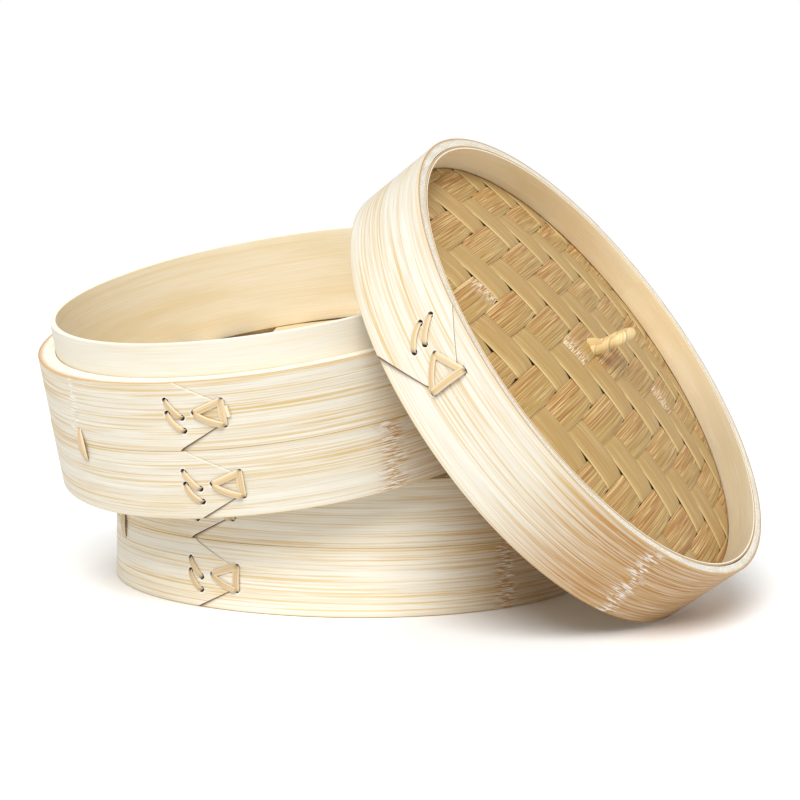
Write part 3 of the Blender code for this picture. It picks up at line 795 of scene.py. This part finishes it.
def woven_strips(ring, direction, cross, pitch, cross_pitch, width, index_shift, over, gape, seed, frayed):
    """All the strips that run one way. Each rides over or under the strips it crosses, two and two, and draws
    its edge back on one side where it is about to dive. Over gives its level and draw at a place."""
    edge_radius, edge_top, rise = mat_shape(ring)
    reach = edge_radius - 0.2
    heading = np.array([math.cos(direction), math.sin(direction)])
    crossing = np.array([math.cos(cross), math.sin(cross)])
    normal = np.array([-heading[1], heading[0]])
    to_grid = np.linalg.inv(np.stack([heading * cross_pitch, crossing * pitch], 1))
    centre = np.array(MAT_CENTRE)
    drawn_side = 1 if gape > 0 else -1
    draws = np.random.default_rng(seed)
    shapes = []
    for index in range(-STRIPS_EACH_SIDE, STRIPS_EACH_SIDE + 1):
        base = centre + crossing * pitch * (index + index_shift)
        base = base + normal * draws.uniform(-0.1, 0.1)
        turn = draws.uniform(-0.003, 0.003)
        tint = draws.uniform(0, 1)
        offset = draws.uniform(0, 1000)
        own = width * draws.uniform(0.99, 1.0)
        line = base @ normal
        if abs(line) > reach + own / 2 - STRIP_MARGIN:
            continue
        count = max(12, round(2 * math.sqrt(max(reach**2 - line**2, 25)) / STRIP_STEP))
        rows = []
        for t in np.linspace(-1, 1, count + 1):
            for share in STRIP_SHARES:
                side = share * drawn_side
                lane = 0.5 * share * own
                lane = min(max(lane, -reach + LANE_MARGIN - line), reach - LANE_MARGIN - line)
                ragged = 0.5 * math.sin(9.0 * lane + 3 * index) + 0.4 * math.sin(4.1 * lane + index)
                span = math.sqrt(max((reach - 0.5 + 0.5 * ragged) ** 2 - (line + lane) ** 2, 1.0))
                flat = normal * (line + lane) + heading * span * t
                q = (to_grid @ (flat - centre))[0]
                level, draw = over(q, index)
                drawn = max(0.0, side) ** 2 * abs(gape) * draw
                flat = flat + normal * (turn * span * t - drawn_side * drawn)
                r = min(float(np.hypot(*flat)), edge_radius)
                fade = min(1.0, max(0.0, (edge_radius - r) / EDGE_FADE)) ** 0.7
                dome = edge_top + rise * (1 - (r / edge_radius) ** 2)
                z = dome - MAT_SINK + fade * (WEAVE_HEIGHT * level - STRIP_CROWN * share * share)
                ease_edge = 0.22 if abs(share) == 1 else 0.0
                away = [(q - f) * cross_pitch / FRAY_REACH for f in frayed.get(index, [])]
                rows.append((
                    flat[0], flat[1], z + STRIP_THICKNESS / 2 - ease_edge, z - STRIP_THICKNESS / 2,
                    span * t + offset, lane + index * 31.0,
                    1.0 if side < -0.99 else 0.25 if side < -0.9 else 0.0,
                    max((math.exp(-(a**2)) for a in away), default=0.0),
                    # painted shade: on the top face where the strip runs under others, on the under face
                    # where it runs over them
                    0.9 * eased((0.1 - level) / 0.7), 0.9 * eased((0.1 + level) / 0.7),
                    eased(0.5 + 0.7 * side),
                ))
        x, y, top, under, along, across, rim, fray, dark, under_face_painted_shade, olive = np.array(rows).T
        points = np.stack([np.tile(x, 2), np.tile(y, 2), np.append(top, under)], 1)
        marks = {
            "rim": np.tile(rim, 2), "tint": np.full(len(points), tint), "frayed": np.tile(fray, 2),
            "dark": np.append(dark, under_face_painted_shade), "olive": np.tile(olive, 2),
        }
        uv = np.tile(np.stack([along, across], 1), (2, 1))
        shapes.append((points, sheet_faces(len(STRIP_SHARES), count + 1), uv, marks))
    return joined(shapes)


def eased(value):
    value = min(1.0, max(0.0, value))
    return value * value * (3 - 2 * value)


def rounded_levels(q, is_over):
    """(level from -1 to 1, share of the gape drawn back) of a strip at q, counted in strips it crosses."""
    cell = math.floor(q)
    inside = q - cell
    here, before, after = [1 if is_over(c) else -1 for c in (cell, cell - 1, cell + 1)]
    if inside < WEAVE_TURN:
        flat = before + (here - before) * eased(0.5 + 0.5 * inside / WEAVE_TURN)
    elif inside > 1 - WEAVE_TURN:
        flat = here + (after - here) * eased(0.5 - 0.5 * (1 - inside) / WEAVE_TURN)
    else:
        flat = here
    arch = here * math.sin(math.pi / 2 * (inside if here != before else 1 - inside))
    if here > 0 and after < 0:
        draw = eased((inside - 0.3) / 0.7)
    elif here < 0 and before > 0:
        draw = 1 - eased(inside / 0.08)
    else:
        draw = 0.0
    return 0.6 * flat + 0.4 * arch, draw


def build_mat(ring, body):
    """The mat as two pieces, one for the strips of each direction."""

    def fibrous_over(cell, index):
        return (cell - index) % 4 in (3, 0)

    def fibrous_level(q, index):
        level, draw = rounded_levels(q, lambda cell: fibrous_over(cell, index))
        inside = q % 1
        return level, draw * (eased((1 - inside) / 0.16) if inside > 0.5 else 0.0)

    def smooth_level(q, index):
        return rounded_levels(q + 0.5, lambda cell: not fibrous_over(index, cell))

    fibrous = woven_strips(
        ring, FIBROUS_DIRECTION, SMOOTH_DIRECTION, FIBROUS_PITCH, SMOOTH_PITCH, FIBROUS_WIDTH, 0,
        fibrous_level, -FIBROUS_GAPE, 11, FRAYED_PLACES,
    )
    smooth = woven_strips(
        ring, SMOOTH_DIRECTION, FIBROUS_DIRECTION, SMOOTH_PITCH, FIBROUS_PITCH, SMOOTH_WIDTH, 0.5,
        smooth_level, SMOOTH_GAPE, 12, {},
    )
    brown = (183, 142, 78), (154, 94, 40), (226, 195, 138)
    fibrous_look = strip_look("mat_fibrous", 41, *brown, 0.85, 0.15, 0.42)
    smooth_look = strip_look("mat_smooth", 47, (181, 145, 86), (168, 128, 70), (230, 207, 147), 0.42, 1.0)
    add_piece("lid_mat_fibrous_strips", fibrous, [fibrous_look], ring.matrix, body, "lid_mat")
    add_piece("lid_mat_smooth_strips", smooth, [smooth_look], ring.matrix, body, "lid_mat")


def handle_frame():
    """The handle's own frame from its joint: +X along the line of its feet, +Z up through the loop."""
    joint = next(j for j in frame["joints"] if j["name"] == "handle_bend")
    feet = np.array(joint["axis"], float)
    feet = feet / np.linalg.norm(feet)
    pivot = np.array(joint["pos_m"], float) / MM
    points = node_points(frame["nodes"]["handle"])
    rise = points.mean(0) - pivot
    rise = rise - feet * (rise @ feet)
    rise = rise / np.linalg.norm(rise)
    rows = np.array([feet, np.cross(rise, feet), rise])
    matrix = Matrix.Translation(Vector(pivot * MM)) @ Matrix(rows.T.tolist()).to_4x4()
    return matrix, (points - pivot) @ rows.T


def wound_loop(thickness, span, foot, centre):
    """The loop from foot to foot over a half circle, ridged by the turns of its strip."""
    straight = centre - foot
    total = 2 * straight + math.pi * span
    core = thickness / 2 - WRAP_STEP
    side = np.array([0, 1.0, 0])
    place, uv, dark, rim = [], [], [], []
    for k in range(LOOP_STEPS + 1):
        along = total * k / LOOP_STEPS
        a = math.pi - min(max((along - straight) / span, 0.0), math.pi)
        drop = min(0.0, along - straight, total - straight - along)
        middle = np.array([span * math.cos(a), 0, centre + span * math.sin(a) + drop])
        heading = np.array([math.sin(a), 0, -math.cos(a)])
        out = np.cross(side, heading)
        for j in range(LOOP_SIDES):
            turn = TURN * j / LOOP_SIDES
            phase = (turn / TURN + along / WRAP_PITCH) % 1
            lift = WRAP_STEP * (0.25 + 0.75 * phase) + 0.25 * math.sin(math.pi * phase)
            wobble = 0.12 * math.sin(3 * turn + along * 0.9) + 0.1 * math.sin(along * 0.55)
            radius = core + lift * 0.8 + wobble
            place.append(middle + (out * math.cos(turn) * 0.94 + side * math.sin(turn)) * radius)
            uv.append((along * 1.4 + turn * 3.0, phase * WRAP_PITCH + 3.0 * k / LOOP_STEPS))
            seam = min(phase, 1 - phase) * WRAP_PITCH
            # painted shade in the creases between the turns of the strip
            dark.append(0.55 * math.exp(-seam / 0.35))
            rim.append(math.exp(-((phase - 0.9) / 0.07) ** 2))
    faces = [tuple(reversed(f)) for f in grid_faces(LOOP_SIDES, LOOP_STEPS + 1, wrap_rows=True)]
    faces += end_caps(LOOP_SIDES, LOOP_STEPS + 1)
    return np.array(place), faces, np.array(uv), {"dark": dark, "rim": rim, "tint": np.zeros(len(place))}


def strip_tail(start):
    """The flat end of the handle's strip."""
    heading = np.array(TAIL_HEADING) / np.linalg.norm(TAIL_HEADING)
    across = np.cross(heading, [1.0, 0, 0])
    across = across / np.linalg.norm(across)
    normal = np.cross(across, heading)
    stations = []
    for k in range(TAIL_STEPS + 1):
        t = k / TAIL_STEPS
        middle = start + heading * TAIL_LENGTH * t + normal * 0.9 * math.sin(3 * t) + across * 0.5 * t * t
        stations.append((middle, across, normal, 3.4 + 2.2 * math.sin(math.pi * (0.15 + 0.6 * t)), 0.0))
    points, faces, uv, marks = ribbon(stations, 0.5, 0.3)
    return points, faces, uv + 40.0, marks


def build_handle(body):
    """A loop wound with a wide flat strip, and the strip's flat end beside one foot."""
    matrix, points = handle_frame()
    thickness = points[:, 1].max() - points[:, 1].min()
    span = points[:, 0].max() - thickness / 2
    foot = points[:, 2].min() + 0.4
    centre = points[:, 2].max() - thickness / 2 - span
    tail = strip_tail(np.array([-span - thickness / 2 + 0.9, 1.2, foot + 8.0]))
    shapes = [wound_loop(thickness, span, foot, centre), tail]
    look = strip_look("handle_strip", 61, (228, 200, 142), (204, 162, 98), (244, 226, 184), 0.45, 0.5)
    add_piece("handle_wrap", joined(shapes), [look], matrix, body, "handle")


def build_tier(tier, nodes, seed, lacing_look, painted_shade_and_streaks, painted_shade_tone):
    """The bands, the inner hoop with its collar, the lacing, the seam ties and the floor of one tier. Nodes
    are the growth nodes of the bands and the collar."""
    ring = Ring(tier + "_inner_hoop", tier + "_lower_band", tier + "_lower_lacing", (0, 0, 1))
    pith = pith_look(tier + "_pith", seed, (240, 230, 206), (250, 244, 228))
    inner = lining_look(tier + "_band_inside", seed + 4, (240, 226, 192), (232, 212, 170))
    for number, level in enumerate(("lower", "upper")):
        node, lacing = f"{tier}_{level}_band", f"{tier}_{level}_lacing"
        lap_place = ring.lap_place(node, lacing)
        own = seed + 10 * number + 1
        skin = skin_look(node + "_skin", own, nodes[level], TIER_LAP, lap_place, painted_shade_and_streaks, painted_shade_tone)
        build_band(
            ring, node, tier, [skin, pith, inner], seed + number, TIER_LAP, lap_place,
            extra_top=SEAM_FILL if level == "lower" else 0.0,
        )
        build_lacing(
            ring, lacing, tier, TIER_LAP, lap_place, lacing_look, seed + number,
            with_loose_end=level == "upper",
        )
    base, deep = (229, 224, 210), (226, 219, 200)
    collar = lining_look(tier + "_collar_outside", seed + 5, base, deep, 0.3, nodes["collar"], *COLLAR_GRAIN)
    wall = lining_look(tier + "_inside", seed + 6, (237, 228, 205), (232, 219, 187), 0.45)
    top = lining_look(tier + "_collar_top", seed + 7, (250, 246, 236), (247, 241, 226), 0.2)
    looks = [collar, top, wall]
    build_band(ring, tier + "_inner_hoop", tier, looks, seed, start=math.radians(170))
    for number in range(1, 5):
        build_tie(ring, f"{tier}_seam_tie_{number}", tier, lacing_look, seed + number)
    slat = strip_look(tier + "_slats", seed + 8, (232, 208, 164), (206, 168, 114), (244, 230, 194), 0.5, 0.0)
    for number in range(1, 12):
        build_plank(f"{tier}_slat_{number}", tier, slat, seed + number, SLAT_BEVEL)
    for number in (1, 2):
        build_plank(f"{tier}_floor_bar_{number}", tier, slat, seed + 20 + number, BAR_BEVEL)


def build_lid(towards, lacing_look):
    """The lid's band and lacing, its two inner hoops, the woven mat and the handle."""
    ring = Ring("lid_lower_hoop", "lid_band", "lid_lacing", towards)
    lap_place = ring.lap_place("lid_band", "lid_lacing")
    nodes = ((59.5, -0.35, 7.0, 0.9), (215, 0.1, 6.0, 0.7))
    # the stretch is partly the lid's own orange streaks and partly painted shade; 0.90 darkens the whole skin
    # as painted shade
    skin = skin_look("lid_band_skin", 71, nodes, LID_LAP, lap_place, (22, 55, 120, 170, 1.0), 0.90)
    pith = pith_look("lid_pith", 72, (212, 206, 188), (228, 223, 208))
    base, deep = (234, 216, 180), (225, 203, 160)
    inside = lining_look("lid_inside", 73, base, deep, 0.35, ((150, 0, 5, 0.2),), *LID_LINING_GRAIN)
    build_band(ring, "lid_band", "lid", [skin, pith, inside], 5, LID_LAP, lap_place)
    build_lacing(ring, "lid_lacing", "lid", LID_LAP, lap_place, lacing_look, 9, upright_on_top=True)
    rim = pith_look("lid_hoop_edge", 74, (244, 236, 214), (249, 243, 226))
    # painted shade over the right part of the upper hoop's inner wall, in degrees along the hoop
    painted_shade_range = (220, 255, 312, 359)
    wall = lining_look("lid_upper_wall", 73, base, deep, 0.35, (), *LID_LINING_GRAIN, painted_shade_range)
    for node, start, face in (("lid_lower_hoop", 150, inside), ("lid_upper_hoop", 200, wall)):
        build_band(ring, node, "lid", [face, rim, face], 6, start=math.radians(start))
    build_mat(ring, "lid")
    build_handle("handle")


def add_camera():
    """Stands in front of the lower tier, a little above it, looking slightly down."""
    low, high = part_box("lower_tier_lower_band")
    foot = Vector(((low.x + high.x) / 2, (low.y + high.y) / 2, low.z))
    data = bpy.data.cameras.new("camera")
    data.sensor_width = 36
    data.lens = CAMERA_LENS
    data.clip_end = 20
    camera = add_object("camera", data)
    camera.location = foot + Vector(CAMERA_PLACE) * MM
    pitch, roll = math.radians(90 - CAMERA_DOWN), math.radians(CAMERA_ROLL)
    camera.rotation_euler = (Matrix.Rotation(pitch, 3, "X") @ Matrix.Rotation(roll, 3, "Z")).to_euler()
    bpy.context.scene.camera = camera


def seen_as_one(tree, cast):
    """A value that is 1 where the camera sees it and another for the light it throws."""
    path = tree.nodes.new("ShaderNodeLightPath")
    choice = tree.nodes.new("ShaderNodeMapRange")
    tree.links.new(path.outputs["Is Camera Ray"], choice.inputs["Value"])
    choice.inputs["To Min"].default_value = cast
    return choice.outputs[0]


def add_studio():
    """A white floor and room, with one broad soft light from above and a little to the left."""
    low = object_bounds()[0]
    corners = [(x * FLOOR_SIDE, y * FLOOR_SIDE, 0) for x, y in ((-1, -1), (1, -1), (1, 1), (-1, 1))]
    mesh = bpy.data.meshes.new("floor")
    mesh.from_pydata(corners, [], [(0, 1, 2, 3)])
    floor = add_object("floor", mesh)
    floor.location.z = low[2] - FLOOR_DROP
    material = bpy.data.materials.new("floor")
    material.use_nodes = True
    shader = material.node_tree.nodes["Principled BSDF"]
    shader.inputs["Roughness"].default_value = 1
    shader.inputs["Specular IOR Level"].default_value = 0
    share = seen_as_one(material.node_tree, FLOOR_BOUNCE)
    material.node_tree.links.new(share, shader.inputs["Base Color"])
    mesh.materials.append(material)
    world = bpy.data.worlds.new("studio")
    world.use_nodes = True
    background = world.node_tree.nodes["Background"]
    background.inputs["Color"].default_value = (1, 1, 1, 1)
    share = seen_as_one(world.node_tree, ROOM_LIGHT)
    world.node_tree.links.new(share, background.inputs["Strength"])
    bpy.context.scene.world = world
    data = bpy.data.lights.new("softbox", "SUN")
    data.angle = math.radians(SUN_SPREAD)
    data.energy = SUN_STRENGTH
    light = add_object("softbox", data)
    turn, rise = math.radians(SUN_TURN), math.radians(SUN_RISE)
    ahead = Vector((math.sin(turn) * math.cos(rise), math.cos(turn) * math.cos(rise), -math.sin(rise)))
    light.rotation_euler = ahead.to_track_quat("-Z", "Y").to_euler()
    bpy.context.scene.view_settings.view_transform = "Standard"


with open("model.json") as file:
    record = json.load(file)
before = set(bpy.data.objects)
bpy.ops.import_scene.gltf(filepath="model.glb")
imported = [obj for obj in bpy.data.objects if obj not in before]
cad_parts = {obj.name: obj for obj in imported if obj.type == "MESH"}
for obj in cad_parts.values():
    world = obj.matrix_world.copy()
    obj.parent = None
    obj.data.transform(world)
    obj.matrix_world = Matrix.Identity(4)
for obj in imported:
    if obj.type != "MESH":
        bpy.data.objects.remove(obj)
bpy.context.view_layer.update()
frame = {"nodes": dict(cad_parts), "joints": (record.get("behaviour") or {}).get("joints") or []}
LID_AXIS = next(j["axis"] for j in frame["joints"] if j["name"] == "lid_lift")
LACING = strip_look("lacing_strip", 31, (220, 192, 148), (198, 158, 110), (240, 224, 192), 0.45, 0.6)
LOWER_NODES = {
    "lower": ((63, 0.0, 8.0, 0.8), (230, 0.1, 6.0, 0.6)),
    "upper": ((165, 0.0, 6.0, 0.6), (320, 0.0, 5.0, 0.3)),
    "collar": ((-100, 0, 4.0, 0.1),),
}
UPPER_NODES = {
    "lower": ((33, 0.0, 8.0, 0.8), (200, 0.1, 6.0, 0.6)),
    "upper": ((-42, 0.1, 5.0, 0.15), (120, 0.0, 6.0, 0.5)),
    "collar": ((-32, 0, 5.0, 0.1),),
}
# each tier's stretch of painted warm shade on its bands, and the tone that darkens its whole skin as painted
# shade
build_tier("lower_tier", LOWER_NODES, 1, LACING, (40, 66, 100, 130, 0.4), 0.98)
build_tier("upper_tier", UPPER_NODES, 101, LACING, (24, 50, 90, 120, 0.45), 0.87)
build_lid(LID_AXIS, LACING)
add_camera()
add_studio()
